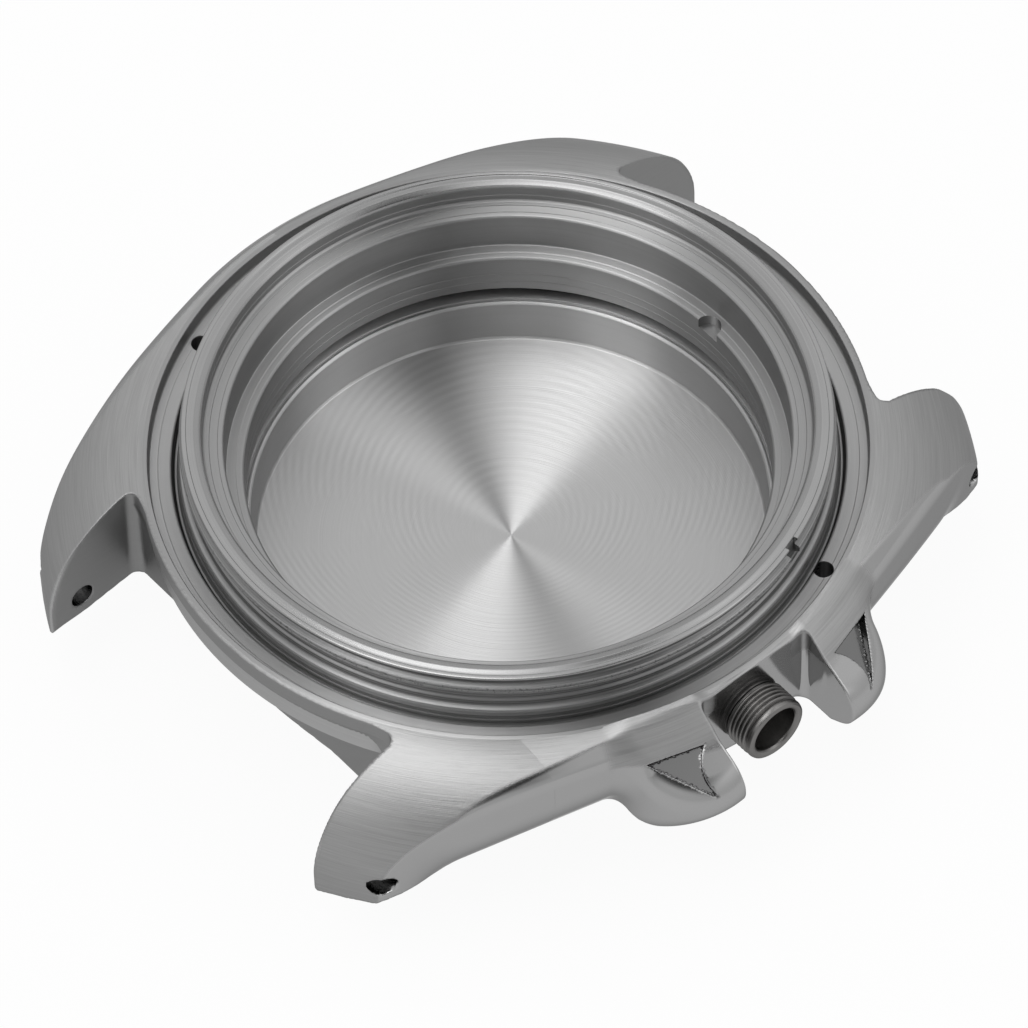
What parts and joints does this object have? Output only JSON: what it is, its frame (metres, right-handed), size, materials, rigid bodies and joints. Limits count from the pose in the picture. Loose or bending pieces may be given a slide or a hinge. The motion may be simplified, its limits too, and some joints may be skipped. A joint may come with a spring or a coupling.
{
  "type": "watch case",
  "caption": "Empty round steel watch case with four lugs, a grooved bezel neck, crown guards, a threaded crown tube and a screw-down back.",
  "frame": {"origin": "where the case axis and the crown's stem axis cross", "axes": "+X out through the crown tube at 3 o'clock, +Y towards 12 o'clock, +Z towards the dial side"},
  "size_m": [0.0449, 0.0466, 0.0111],
  "materials": {
    "case_steel": "brushed tops, polished bevels and flanks, lathe-turned neck",
    "tube_steel": "turned, darker than the case",
    "seal_rubber": "matt black",
    "back_steel": "fine concentric turning"
  },
  "bodies": {
    "case": {"mid_case": "case_steel", "crown_tube": "tube_steel"},
    "seal": {"back_seal": "seal_rubber"},
    "back": {"case_back": "back_steel"}
  },
  "joints": [
    {"name": "back_travel", "type": "slide", "parent": "case", "child": "seal", "axis": [0, 0, -1], "range_m": [0, 0.0025]},
    {"name": "back_turn", "type": "hinge", "parent": "seal", "child": "back", "pos_m": [0, 0, -0.0033], "axis": [0, 0, -1], "range_deg": [0, 1800]}
  ],
  "couplings": [
    {"joint": "back_travel", "follows": "back_turn", "m_per_rad": 0.000079577}
  ]
}
